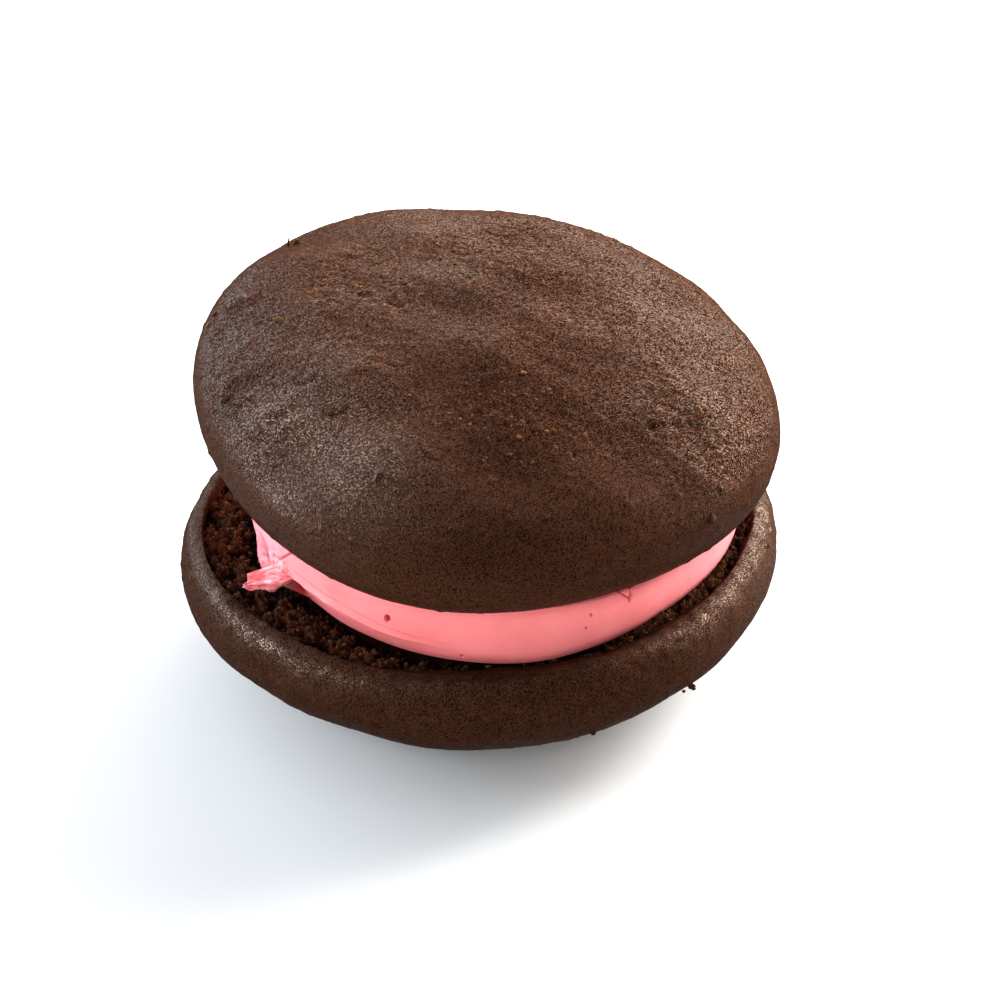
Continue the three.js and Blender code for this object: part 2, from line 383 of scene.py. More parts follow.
class CakeSizes(bpy.types.PropertyGroup):
    """Sizes of both cakes, and how the upper one lies."""

    lower_radius: size_property("Lower radius", "Widest ring of the lower cake", 0.0475)
    lower_height: size_property("Lower height", "From the floor to the crest", 0.0221)
    lower_rim: size_property("Lower rim", "From its widest ring to its crest", 0.0068)
    lower_roundness: number_property("Lower roundness", "Power of the crown's superellipse", 2.08)
    pressed: size_property("Pressed", "How much of the crown is pressed flat", 0.0008)
    upper_radius: size_property("Upper radius", "Widest ring of the upper cake", 0.0465)
    upper_height: size_property("Upper height", "From its crest to its crown", 0.0225)
    upper_rim: size_property("Upper rim", "From its widest ring to its crest", 0.0069)
    upper_roundness: number_property("Upper roundness", "Power of the crown's superellipse", 2.06)
    upper_place: place_property("Upper place", "Middle of the upper crest", (0.0004, 0.0042, 0.0349))
    lean_forward: angle_property("Lean forward", "Tilt to the front", 5.3)
    lean_right: angle_property("Lean right", "Tilt to the right", 6.9)
    rim_roll: size_property("Rim roll", "From the widest ring in to the crest", 0.0036)
    crest_lift: size_property("Crest lift", "How far the upper crest curls up", 0.00065)
    lip_depth: size_property("Lip depth", "From the crest to the crumb face", 0.0012)
    crumb_radius: size_property("Crumb radius", "Edge of the torn crumb", 0.0422)
    crumb_stretch: size_property("Crumb stretch", "How much wider it is sideways", 0.0015)
    crumb_band: size_property("Crumb band", "Width of the crumb that is modelled", 0.0105)
    crag_height: size_property("Crag height", "Relief of the torn crumb", 0.0016)
    grain_height: size_property("Grain height", "Relief of the crust's grain", 0.00004)


class CreamSizes(bpy.types.PropertyGroup):
    """Sizes of the cream and of its torn tongue."""

    radius: size_property("Radius", "Mean radius of the cream", 0.038)
    bulge: size_property("Bulge", "How far the side swells", 0.0016)
    belly: number_property("Belly", "Share of the height where it swells most", 0.45)
    gap: size_property("Gap", "Clearance to each cake", 0.0003)
    sink: size_property("Sink", "How far the foot sinks into the crumb", 0.0002)
    smear: size_property("Smear", "Relief of the spreading marks", 0.00012)
    tag_thickness: size_property("Tongue thickness", "Thickness of the torn tongue", 0.0011)


class CrumbSizes(bpy.types.PropertyGroup):
    """Sizes and numbers of the loose crumb."""

    grains: IntProperty(name="Grains", description="Lumps on the torn crumb", default=6200)
    grain_size: size_property("Grain size", "Radius of the largest lumps", 0.00044)
    specks: IntProperty(name="Specks", description="Specks on the upper crust", default=380)
    speck_size: size_property("Speck size", "Radius of the largest specks", 0.0003)


class PieColours(bpy.types.PropertyGroup):
    """Colours of cake, cream and floor."""

    crust: colour_property("Crust", "Baked crust", (0.066, 0.0240, 0.0114))
    crust_dark: colour_property("Dark crust", "Dark parts of it", (0.0125, 0.0044, 0.0021))
    speck: colour_property("Speck", "Light crumb specks", (0.19, 0.08, 0.028))
    crumb: colour_property("Crumb", "Torn crumb", (0.06, 0.0202, 0.0086))
    # dark crumb: darker lumps at random, and painted shade in the crumb's holes
    crumb_dark: colour_property("Dark crumb", "Holes in the crumb", (0.006, 0.0019, 0.0010))
    cream: colour_property("Cream", "Buttercream", (0.95, 0.212, 0.219))
    # painted light: a paler, cooler pink for the lamp light and sheen on the cream
    cream_painted_light: colour_property("Pale cream", "Torn buttercream", (0.78, 0.32, 0.37))
    # painted shade: the deep red of the cream's shaded creases, cuts and pits
    crease: colour_property("Crease", "Deep creases of the cream", (0.45, 0.014, 0.015))
    floor: colour_property("Floor", "Floor", (0.7, 0.7, 0.7))


class StageSizes(bpy.types.PropertyGroup):
    """Camera and light."""

    distance: size_property("Distance", "From the camera to its aim", 0.65)
    elevation: angle_property("Elevation", "Camera above level", 34.1)
    roll: angle_property("Roll", "Turn of the picture", -1.58)
    aim: place_property("Aim", "Point in the middle of the picture", (0.00337, 0, 0.02466))
    lens: number_property("Lens", "Focal length on a 36 mm wide picture", 146.74)
    right: power_property("Right light", 66.0)
    back: power_property("Back light", 31.0)
    back_left: power_property("Back left light", 24.0)
    left: power_property("Left light", 21.0)
    glint: power_property("Glint light", 7.0)
    sheen: power_property("Sheen light", 14.0)
    front: power_property("Front light", 9.5)
    sky: number_property("Sky", "Strength of the even surrounding light", 0.22)


# Noise and grids


def cell_hash(cells, seed):
    """A repeatable number from 0 to 1 for each whole-number cell: its coordinates multiplied and mixed."""
    c = cells.astype(np.int64).astype(np.uint32)
    key = np.uint32(seed * HASH_SEED % 2**32)
    for axis, factor in enumerate(HASH_AXES):
        key = key ^ c[..., axis] * np.uint32(factor)
    for shift, factor in HASH_ROUNDS:
        key = (key ^ key >> np.uint32(shift)) * np.uint32(factor)
    return (key ^ key >> np.uint32(HASH_LAST_SHIFT)) / 2.0**32


def soft_noise(points, size, seed):
    """Smooth noise from -1 to 1.

    Random heights on a cubic lattice, blended between its eight corners by a smooth step.
    """
    scaled = points / size
    cell = np.floor(scaled)
    blend = smooth(scaled - cell)
    total = np.zeros(points.shape[:-1])
    for corner in np.ndindex(2, 2, 2):
        weight = np.prod(np.where(corner, blend, 1 - blend), axis=-1)
        total += weight * cell_hash(cell + corner, seed)
    return 2 * total - 1


def layered_noise(points, size, seed, layers):
    """Sum of smooth noises, each of half the size and half the height of the one before."""
    return sum(soft_noise(points, size / 2**n, seed + n) / 2**n for n in range(layers))


def pebbles(points, size, seed):
    """Distances, in sizes, to the nearest and the second nearest of scattered points.

    The points lie one in each cube of a lattice, each at a random place in its cube.
    """
    scaled = points / size
    cell = np.floor(scaled)
    first = np.full(points.shape[:-1], np.inf)
    second = first.copy()
    for offset in np.ndindex(3, 3, 3):
        near = cell + offset - 1
        jitter = np.stack([cell_hash(near, seed + n) for n in range(3)], axis=-1)
        away = np.linalg.norm(near + jitter - scaled, axis=-1)
        second = np.minimum(second, np.maximum(first, away))
        first = np.minimum(first, away)
    return first, second


def smooth(share):
    """Smooth step from 0 to 1."""
    t = np.clip(share, 0, 1)
    return t * t * (3 - 2 * t)


def bump(distance, width):
    """A bell of height 1 at distance 0."""
    return np.exp(-np.square(distance / width))


def turn_from(angle, degrees):
    """Angle in degrees from a direction, between -180 and 180."""
    return (np.degrees(angle) - degrees + 180) % 360 - 180


def sector(angle, degrees, spread):
    """A bell of height 1 round a direction, with its spread in degrees."""
    return bump(turn_from(angle, degrees), spread)


def polar(r, angle, z):
    """Points at a distance from the axis, an angle round it and a height."""
    return np.stack([r * np.cos(angle), r * np.sin(angle), z], axis=-1)


def disc_grid(rings):
    """Ring and angle of a square grid wrapped to a disc.

    The square k steps from the middle becomes a circle of 8k points.
    """
    step = np.arange(-rings, rings + 1)
    i, j = np.meshgrid(step, step, indexing="ij")
    ring = np.maximum(abs(i), abs(j))
    eighth = math.pi / 4 / np.maximum(ring, 1)
    angle = np.select(
        [i == ring, j == ring, i == -ring],
        [eighth * j, math.pi / 2 - eighth * i, math.pi - eighth * j],
        -math.pi / 2 + eighth * i,
    )
    return ring, angle


def grid_faces(rows, columns, wrap=False):
    """Quads of a grid of points, row by row; wrap joins its last column to its first."""
    index = np.arange(rows * columns).reshape(rows, columns)
    right = np.roll(index, -1, axis=1) if wrap else index[:, 1:]
    left = index if wrap else index[:, :-1]
    return np.stack([left[:-1], right[:-1], right[1:], left[1:]], axis=-1).reshape(-1, 4)


def tube_faces(rows, columns):
    """Quads of a tube of points, ring by ring, and a fan at each end to the two points that follow them."""
    ring = np.arange(columns)
    after = np.roll(ring, -1)
    last = (rows - 1) * columns
    first_end = np.full_like(ring, rows * columns)
    return [
        grid_faces(rows, columns, wrap=True),
        np.stack([after, ring, first_end], axis=-1),
        np.stack([last + ring, last + after, first_end + 1], axis=-1),
    ]


def grid_border(size):
    """Indices of a square grid's border, once round."""
    index = np.arange(size * size).reshape(size, size)
    return np.concatenate([index[:-1, 0], index[-1, :-1], index[:0:-1, -1], index[0, :0:-1]])


def grid_normals(points):
    """Unit normals of a grid surface, from the cross product of its two directions."""
    across = np.gradient(points, axis=0)
    along = np.gradient(points, axis=1)
    normal = np.cross(across, along)
    return normal / np.maximum(np.linalg.norm(normal, axis=-1, keepdims=True), 1e-12)


def ring_value(table, angle):
    """Value of a table of degrees and numbers round a ring: straight runs, averaged over a few degrees."""
    at, value = np.array(table).T
    total = sum(np.interp(np.degrees(angle) + near, at, value, period=360) for near in RING_AVERAGE)
    return total / len(RING_AVERAGE)


def put_mesh(name, points, faces, material, **attributes):
    """Makes a smooth object from points in mm and arrays of faces, and stores numbers for each point."""
    mesh = bpy.data.meshes.new(name)
    corners = np.concatenate([f.ravel() for f in faces]).astype(np.int32)
    sides = np.concatenate([np.full(len(f), f.shape[1]) for f in faces])
    starts = np.concatenate([[0], np.cumsum(sides)[:-1]]).astype(np.int32)
    mesh.vertices.add(len(points))
    mesh.vertices.foreach_set("co", (points * MM).astype(np.float32).ravel())
    mesh.loops.add(len(corners))
    mesh.loops.foreach_set("vertex_index", corners)
    mesh.polygons.add(len(starts))
    mesh.polygons.foreach_set("loop_start", starts)
    mesh.update(calc_edges=True)
    mesh.validate()
    mesh.shade_smooth()
    for key, values in attributes.items():
        attribute = mesh.attributes.new(key, "FLOAT", "POINT")
        attribute.data.foreach_set("value", values.astype(np.float32).ravel())
    mesh.materials.append(material)
    piece = bpy.data.objects.new(name, mesh)
    bpy.context.scene.collection.objects.link(piece)
    return piece


# Cakes


def crumb_edge(angle):
    """Radius of the torn crumb's edge: straight runs between given places, with a ragged line."""
    ring = polar(EDGE_RING, angle, np.zeros_like(angle))
    ragged = EDGE_RAGGED * layered_noise(ring, size=3.0, seed=21, layers=3)
    return ring_value(TORN_EDGE, angle) + ragged


def outline_factor(lobes, radius, angle):
    """Factor of the radius: one plus the sum of the outline's lobes."""
    depths = [depth * np.cos(count * (angle - math.radians(at))) for count, depth, at in lobes]
    return 1 + sum(depths) / radius


def swell(x, y):
    """Height of the crust's broad swells: a sum of cosine waves."""
    total = 0
    for height, length, at, phase in SWELLS:
        along, _ = along_across(x, y, 0, 0, at)
        total = total + height * np.cos(2 * math.pi * along / length + phase)
    return total


def cake_section(radius, height, rim, roundness, sizes, rings, ring, angle, lift=0.0):
    """Radius and height of a cake's section, and how far each ring is into roll, lip and crumb.

    The crown is a quarter of a superellipse with even steps along it, the rim a quarter of an ellipse rolled
    in to the crest, the lip a smooth step up to the crumb face, and that face is level. Heights are counted
    from the crest, and lift curls the crest up.
    """
    crown, roll, lip, crumb = rings
    crest = radius - sizes.rim_roll / MM
    depth = sizes.lip_depth / MM
    edge = np.minimum(crumb_edge(angle), crest - LEAST_LIP)
    a = np.linspace(math.pi / 2, 0, SECTION_STEPS)
    r_crown = radius * np.maximum(np.cos(a), 0) ** (2 / roundness)
    r_crown[0] = 0
    z_crown = rim + (height - rim) * np.sin(a) ** (2 / roundness)
    arc = np.concatenate([[0], np.cumsum(np.hypot(np.diff(r_crown), np.diff(z_crown)))])
    on_crown = np.clip(ring / crown, 0, 1)
    on_roll = np.clip((ring - crown) / roll, 0, 1)
    on_lip = np.clip((ring - crown - roll) / lip, 0, 1)
    on_crumb = np.clip((ring - crown - roll - lip) / crumb, 0, 1)
    r = np.interp(on_crown, arc / arc[-1], r_crown)
    z = np.interp(on_crown, arc / arc[-1], z_crown)
    quarter = on_roll * math.pi / 2
    r = np.where(on_roll > 0, crest + sizes.rim_roll / MM * np.cos(quarter), r)
    z = np.where(on_roll > 0, rim * (1 - np.sin(quarter)) + lift * smooth(on_roll), z)
    r = np.where(on_lip > 0, crest + (edge - crest) * on_lip, r)
    z = np.where(on_lip > 0, lift + (depth - lift) * smooth(on_lip), z)
    r = np.where(on_crumb > 0, edge - sizes.crumb_band / MM * on_crumb, r)
    return r, z, on_roll, on_lip, on_crumb


def close_face(points, faces, border, middle):
    """Adds one middle point and a fan of triangles from the border to it."""
    centre = np.full_like(border, len(points))
    fan = np.stack([border, centre, np.roll(border, -1)], axis=-1)
    return np.concatenate([points, [middle]]), [faces, fan]


def put_cake(name, grid, shares, middle, colours, crown_up=False, turn=np.eye(3), place=(0, 0, 0)):
    """Makes a cake's object: its grid, a fan that closes its crumb face, then a turn and a move."""
    size = len(grid)
    order = -1 if crown_up else 1
    quads = grid_faces(size, size)[:, ::order]
    points, faces = close_face(grid.reshape(-1, 3), quads, grid_border(size)[::-order], middle)
    material = shared_material("cocoa_crust", crust_material, colours)
    shares = {key: np.append(values.ravel(), 0) for key, values in shares.items()}
    return put_mesh(name, points @ turn.T + place, faces, material, **shares)


def lean(sizes):
    """The upper cake's turn: forward about X, then to the right about Y."""
    forward = Matrix.Rotation(sizes.lean_forward, 3, "X")
    return np.array(Matrix.Rotation(sizes.lean_right, 3, "Y") @ forward)


def patch_share(patches, x, y):
    """Strength of a set of patches: the largest of them, each a bell."""
    bells = [strength * bump(np.hypot(x - px, y - py), size) for px, py, size, strength in patches]
    return np.max(bells, axis=0)


def crust_relief(points, worn, grain):
    """Height of the crust's own relief, and its pores.

    Low waves and a grain as fine as the grid are layered noise, blisters are caps round scattered points, and
    worn patches are rough, with a pore round each point of a finer scatter.
    """
    waves = WAVE_HEIGHT * layered_noise(points, size=7.0, seed=31, layers=3)
    near_pore, _ = pebbles(points, size=1.3, seed=41)
    pores = worn * smooth((0.42 - near_pore) / 0.3)
    rough = ROUGH_HEIGHT * worn * layered_noise(points, size=1.6, seed=51, layers=2)
    fine = layered_noise(points, size=0.75, seed=61, layers=2) + 0.8 * soft_noise(points, size=0.42, seed=71)
    near_blister, _ = pebbles(points, size=3.4, seed=45)
    blisters = BLISTER_HEIGHT * smooth((0.3 - near_blister) / 0.25)
    return waves + blisters - PORE_DEPTH * pores + rough + grain * fine, pores


def along_across(x, y, px, py, at):
    """Distances from a place along a direction in degrees and square to it."""
    c, s = math.cos(math.radians(at)), math.sin(math.radians(at))
    return (x - px) * c + (y - py) * s, (y - py) * c - (x - px) * s


def upper_marks(x, y):
    """Height of single marks on the upper crust, and how dark they are painted.

    A raised lip is a short bell with a painted shadow on its lower-left side, a fold the slope of a bell,
    high on one side and low on the other, a wrinkle half a ring of grooves painted dark as their shade, a pit
    a bell turned down, painted dark as its shade when deep, and the ridge at the back right a ring of bells.
    """
    height = np.zeros_like(x)
    dark = np.zeros_like(x)
    for px, py, length, at in CRUST_LIPS:
        along, across = along_across(x, y, px, py, at)
        ends = bump(along, length * 0.6)
        height += LIP_HEIGHT * ends * bump(across, LIP_WIDTH)
        # painted shadow beside the lip, on its lower-left side
        dark = np.maximum(dark, 0.3 * ends * bump(across - 0.8, 0.35))
    for px, py, half, at, high in CRUST_FOLDS:
        along, across = along_across(x, y, px, py, at)
        across = across + 0.35 * np.sin(along * 1.3 + px)
        height += 0.65 * high * bump(along, half) * across * bump(across, FOLD_WIDTH)
    for px, py, radius, high in CRUST_BLISTERS:
        height += high * bump(np.hypot(x - px, y - py), radius)
    for px, py, radius in CRUST_WRINKLES:
        away = np.hypot(x - px, y - py)
        groove = bump(away - radius, WRINKLE_WIDTH) * smooth((py - y) / radius + 0.5)
        height -= WRINKLE_DEPTH * groove
        # painted shade in the wrinkle's groove
        dark = np.maximum(dark, groove)
    for px, py, radius, depth in CRUST_PITS:
        pit = bump(np.hypot(x - px, y - py), radius)
        height -= depth * pit
        # painted shade in the deeper pits
        dark = np.maximum(dark, pit * smooth((depth - 0.25) / 0.2))
    radius, at, spread = BACK_RIDGE
    beyond = np.hypot(x, y) - radius
    ridge = RIDGE_HEIGHT * bump(beyond, 1.0) - RIDGE_DROP * smooth(beyond / 2)
    return height + sector(np.arctan2(y, x), at, spread) * ridge, dark


def upper_cake_points(sizes):
    """Grid of the upper cake in its own frame, and its shares of wear, gloss, dark and coarseness.

    The section goes round the axis and its relief out along the normals. Pores are painted dark as the shade
    in them, most at the front, the rolled rim underneath is painted dark as the shade under the crown, and
    the grain is finest low at the front and coarsest at the right.
    """
    ring, angle = disc_grid(sum(UPPER_RINGS))
    radius, top, rim = sizes.upper_radius / MM, sizes.upper_height / MM, sizes.upper_rim / MM
    lift = sizes.crest_lift / MM
    r, z, on_roll, on_lip, _ = cake_section(
        radius, top, rim, sizes.upper_roundness, sizes, UPPER_RINGS, ring, angle, lift
    )
    r = r * outline_factor(UPPER_LOBES, radius, angle)
    x, y = r * np.cos(angle), r * np.sin(angle)
    inner = smooth((z - rim) / (CROWN_FADE * top)) * (on_roll == 0)
    points = np.stack([x, y, z + swell(x, y) * inner], axis=-1)
    worn = patch_share(WORN_PATCHES, x, y) * inner
    grain = sizes.grain_height / MM * (0.3 + 1.5 * inner)
    marks, dark = upper_marks(x, y)
    relief, pores = crust_relief(points, worn, grain)
    height = relief * (1 - on_lip) + marks * inner
    # painted shade in the pores, strongest at the front
    pores = pores * (0.7 + 1.1 * smooth((-8 - y) / 8))
    dark = np.max([dark, pores, patch_share(DARK_PATCHES, x, y)], axis=0) * inner
    # painted shade on the rolled rim, which turns under towards the cream
    dark = np.maximum(dark, smooth((on_roll - 0.35) / 0.4))
    coarse = 0.6 + inner * smooth((y + 42) / 22) * (0.4 + 0.18 * smooth((x + 12) / 26))
    gloss = patch_share(GLOSSY_PATCHES, x, y)
    shares = {"worn": worn, "gloss": gloss, "dark": dark, "coarse": coarse}
    return points + grid_normals(points) * height[..., None], shares


def lower_cake_points(sizes, cream):
    """Grid of the lower cake, crumb face up, and its shares of torn crumb, crags, gloss, dark and coarseness.

    The section is turned upside down and pressed flat at the floor. The rim is lumpier than the crown and has
    a crumbly crack at the left, and the torn face has crags where the cream leaves it open. A sheen is a bell
    round a direction and across the rim. Painted shade darkens the rest of the rim, less on the lit right
    side, and also the lip down to the crumb face and the shaded inside at the front.
    """
    ring, angle = disc_grid(sum(LOWER_RINGS))
    radius, top, rim = sizes.lower_radius / MM, sizes.lower_height / MM, sizes.lower_rim / MM
    r, z, on_roll, on_lip, on_crumb = cake_section(
        radius, top + sizes.pressed / MM, rim, sizes.lower_roundness, sizes, LOWER_RINGS, ring, angle
    )
    r = r * outline_factor(LOWER_LOBES, radius, angle)
    x, y = r * np.cos(angle), r * np.sin(angle)
    inner = smooth((z - rim) / (CROWN_FADE * top)) * (on_roll == 0)
    points = np.stack([x, y, top - z - swell(x, y) * inner * smooth((r - 15) / 8)], axis=-1)
    normals = -grid_normals(points)
    rim_share = smooth(on_roll * 2) * (1 - smooth(on_lip * 1.5))
    height = crust_relief(points, 0.0 * r, sizes.grain_height / MM)[0] * (1 - on_lip)
    broad, fine = RIM_LUMPS
    height += rim_share * broad * layered_noise(points, size=9.0, seed=33, layers=2)
    height += rim_share * fine * layered_noise(points, size=1.5, seed=37, layers=2)
    at, spread, width, depth = RIM_CRACK
    crack = rim_share * sector(angle, at, spread) * bump(r - radius + sizes.rim_roll / MM, width)
    nearest, _ = pebbles(points, size=0.9, seed=43)
    height -= depth * crack * smooth((0.45 - nearest) / 0.3)
    torn = np.maximum(smooth((on_lip - 0.8) / 0.2), on_crumb > 0)
    open_share = smooth((r - cream_radius(cream, 0 * angle, angle) + 1.2) / 1.5)
    crag = crumb_crags(points) - foot_dip(cream, r, angle)
    height += torn * open_share * sizes.crag_height / MM * crag
    points = points + normals * height[..., None]
    points[..., 2] = np.maximum(points[..., 2], 0)

    in_from_side = (radius - r + 0.5 * soft_noise(points, size=4.0, seed=35)) * (on_roll > 0)
    gloss = 0
    for at, spread, inset, width, strength in RIM_SHEENS:
        gloss = gloss + strength * bump(in_from_side - inset, width) * sector(angle, at, spread)
    at, spread, strength = SIDE_SHEEN
    gloss = np.maximum(gloss, strength * (on_lip == 0) * sector(angle, at, spread))
    # painted shade over the rim, taken off on the sheens and on the lit right side
    at, spread, strength = RIM_LIT
    painted_dim = RIM_PAINTED_SHADE * (1 - gloss) * (1 - strength * sector(angle, at, spread))
    at, spread, start, width, strength = RIM_SHADE
    shade = strength * smooth((in_from_side - start) / width) * sector(angle, at, spread)
    # the lip is painted dark as the shade under the upper cake
    dark = np.max([crack, 0.9 * smooth(on_lip * 2.5), painted_dim, shade], axis=0)
    coarse = 0.65 + 0.35 * np.minimum(gloss, 1)
    return points, {"torn": torn, "crag": crag, "gloss": gloss, "dark": dark, "coarse": coarse}


def foot_dip(cream, r, angle):
    """How far the crumb is pressed down along the cream's foot: a bell across it, less at the right."""
    from_foot = r - cream_radius(cream, 0 * angle, angle)
    depth, distance, width = FOOT_DIP
    at, spread, height = FOOT_RISE
    return (depth - height * sector(angle, at, spread)) * bump(from_foot - distance, width)


def crumb_crags(points):
    """Relief of torn crumb from about -1 to 0.6.

    Clods of two sizes with gaps between them, holes where a noise is low, and fine roughness.
    """
    coarse, next_coarse = pebbles(points, size=1.9, seed=81)
    small, next_small = pebbles(points, size=0.8, seed=91)
    clods = 0.5 * (0.5 - coarse) + 0.3 * smooth((next_coarse - coarse) / 0.35)
    clods += 0.4 * (0.5 - small) + 0.2 * smooth((next_small - small) / 0.3)
    holes = smooth((-soft_noise(points, size=1.7, seed=95) - 0.2) / 0.3)
    return clods - 0.45 - 0.7 * holes + 0.2 * layered_noise(points, size=0.5, seed=97, layers=2)


# Cream


def cream_ceiling(sizes, cream, x, y):
    """Height of the cream's top: the upper cake's leaning crumb face, dipping under its crest at the edge."""
    place = np.array(sizes.upper_place) / MM
    dx, dy = x - place[0], y - place[1]
    edge = sizes.crumb_radius / MM + sizes.crumb_stretch / MM * np.cos(2 * np.arctan2(dy, dx))
    recess = sizes.lip_depth / MM * smooth((edge - np.hypot(dx, dy) - 0.8) / 2.4) - cream.gap / MM
    normal = lean(sizes) @ (0, 0, 1)
    return place[2] + (recess - normal[0] * dx - normal[1] * dy) / normal[2]


def cream_radius(cream, level, angle):
    """Distance of the cream's side from the axis: a shifted circle, a swelling at its belly, and its foot."""
    shift, shift_at = CREAM_SHIFT
    outline = cream.radius / MM + shift * np.cos(angle - math.radians(shift_at))
    spread = ring_value(FOOT_SPREAD, angle)
    belly = np.where(level < cream.belly, level / cream.belly, (1 - level) / (1 - cream.belly))
    swelling = cream.bulge / MM * (np.sqrt(1 - np.square(1 - belly)) - 1)
    below_fold = np.clip(1 - level / ring_value(FOLD_RIDGE, angle), 0, 1)
    under_fold = np.minimum(spread, 0) * below_fold**0.8
    foot = np.maximum(spread, 0) * (1 - smooth(level / 0.5))
    return outline + swelling + under_fold + foot


def cream_marks(body, angle, level):
    """Depth of the marks on the cream's side, and how much red crease shade is painted on each point.

    Grooves are bells round an angle, the left wall slants in towards its foot, cuts are bells round a line,
    and pits have steep sides. The crumpled place beside the tongue is noise folded at zero, and the fold's
    ridge and the wrinkle above it are sharp beads. Red crease shade is painted at the foot and under the
    fold, in the cuts and pits, and in the crumpled place's valleys.
    """
    z = body[..., 2]
    depth = np.zeros_like(z)
    for at, spread, deep, low, high in CREAM_GROOVES:
        share = smooth((level - low) / 0.15) * smooth((high - level) / 0.15)
        depth += deep * share * sector(angle, at, spread)
    at, spread, slant, upright, most = LEFT_WALL
    lean_in = np.maximum(slant * smooth(level / 0.2) * (1 - level / upright), -most)
    depth += lean_in * sector(angle, at, spread)
    # painted shade at the foot and under the fold
    crease = np.zeros_like(z)
    for at, spread, strength, high, fade in CREAM_CREASES:
        share = strength * sector(angle, at, spread) * smooth((high - level) / fade)
        crease = np.maximum(crease, share)
    across = np.radians(turn_from(angle, -90)) * CREAM_RING
    for a0, z0, a1, z1, deep in CREAM_CUTS:
        start = np.array([math.radians(a0 + 90) * CREAM_RING, z0])
        run = np.array([math.radians(a1 + 90) * CREAM_RING, z1]) - start
        share = np.clip(((across - start[0]) * run[0] + (z - start[1]) * run[1]) / (run @ run), 0, 1)
        away = np.hypot(across - start[0] - share * run[0], z - start[1] - share * run[1])
        depth += deep * bump(away, CUT_WIDTH)
        # painted shade along the bottom of each cut
        crease = np.maximum(crease, bump(away, CUT_BOTTOM))
    for at, height, radius, deep in CREAM_PITS:
        aside = (across - math.radians(at + 90) * CREAM_RING) * PIT_NARROWING
        away = np.hypot(aside, z - height)
        pit = smooth((1 - away / radius) / 0.4)
        depth += deep * pit
        # painted shade in each pit
        crease = np.maximum(crease, pit)
    rumple = 1 - 2 * abs(layered_noise(body, size=1.5, seed=141, layers=3))
    at, spread, height, tall, crumpled_relief = CRUMPLED
    crumpled = sector(angle, at, spread) * bump(z - height, tall)
    at, spread, high, fade, torn_relief = TORN_SIDE
    torn = sector(angle, at, spread) * smooth((high - level) / fade)
    depth -= (crumpled_relief * crumpled + torn_relief * torn) * rumple
    # painted shade in the crumpled place's valleys
    crease = np.maximum(crease, 0.8 * crumpled * smooth((-rumple - 0.1) / 0.4))
    above = level - ring_value(FOLD_RIDGE, angle)
    ridge = sum(high * np.exp(-abs(above - at) / width) for at, high, width in FOLD_BEADS)
    at, deep, width = FOLD_HOLLOW
    depth += sector(angle, *FOLD_FRONT) * (deep * bump(above - at, width) - ridge)
    return depth, crease


def cream_points(sizes, cream):
    """Side of the cream as a grid of level and angle, finest at the front, and the shade painted in its
    creases.
    """
    rows, columns = CREAM_GRID
    level = smooth(np.linspace(0, 1, rows)) * 0.5 + np.linspace(0, 1, rows) * 0.5
    share, degrees = np.array(CREAM_COLUMNS).T
    angle = np.radians(np.interp(np.arange(columns) / columns, share, degrees))
    level, angle = np.meshgrid(level, angle, indexing="ij")
    floor = (sizes.lower_height - sizes.lip_depth + cream.gap) / MM
    r = cream_radius(cream, level, angle)
    x, y = r * np.cos(angle), r * np.sin(angle)
    z = floor + level * (cream_ceiling(sizes, cream, x, y) - floor)
    body = np.stack([x, y, z], axis=-1)
    marks, crease = cream_marks(body, angle, level)
    streaks = layered_noise(body * (0.12, 0.12, 1), size=2.6, seed=111, layers=3)
    smear = cream.smear / MM * (streaks + 1.2 * soft_noise(body, size=6.0, seed=121))
    inside = smooth(level / 0.06) * smooth((1 - level) / 0.06)
    r = r - marks * inside + smear * inside
    x, y = r * np.cos(angle), r * np.sin(angle)
    sunk = cream.sink / MM * (1 - smooth(level / 0.08))
    z = floor + level * (cream_ceiling(sizes, cream, x, y) - floor) - sunk
    return np.stack([x, y, z], axis=-1), crease


def spline_weights(count, steps):
    """Weights of a smooth curve through control points: cubics, with slopes from the points beside."""
    t = np.linspace(0, count - 1, steps)
    weights = np.zeros((steps, count))
    first = np.minimum(t.astype(int), count - 2)
    u = t - first
    cubic = (-u + 2 * u**2 - u**3, 2 - 5 * u**2 + 3 * u**3, u + 4 * u**2 - 3 * u**3, u**3 - u**2)
    for offset, weight in zip((-1, 0, 1, 2), cubic):
        np.add.at(weights, (np.arange(steps), np.clip(first + offset, 0, count - 1)), weight / 2)
    return weights


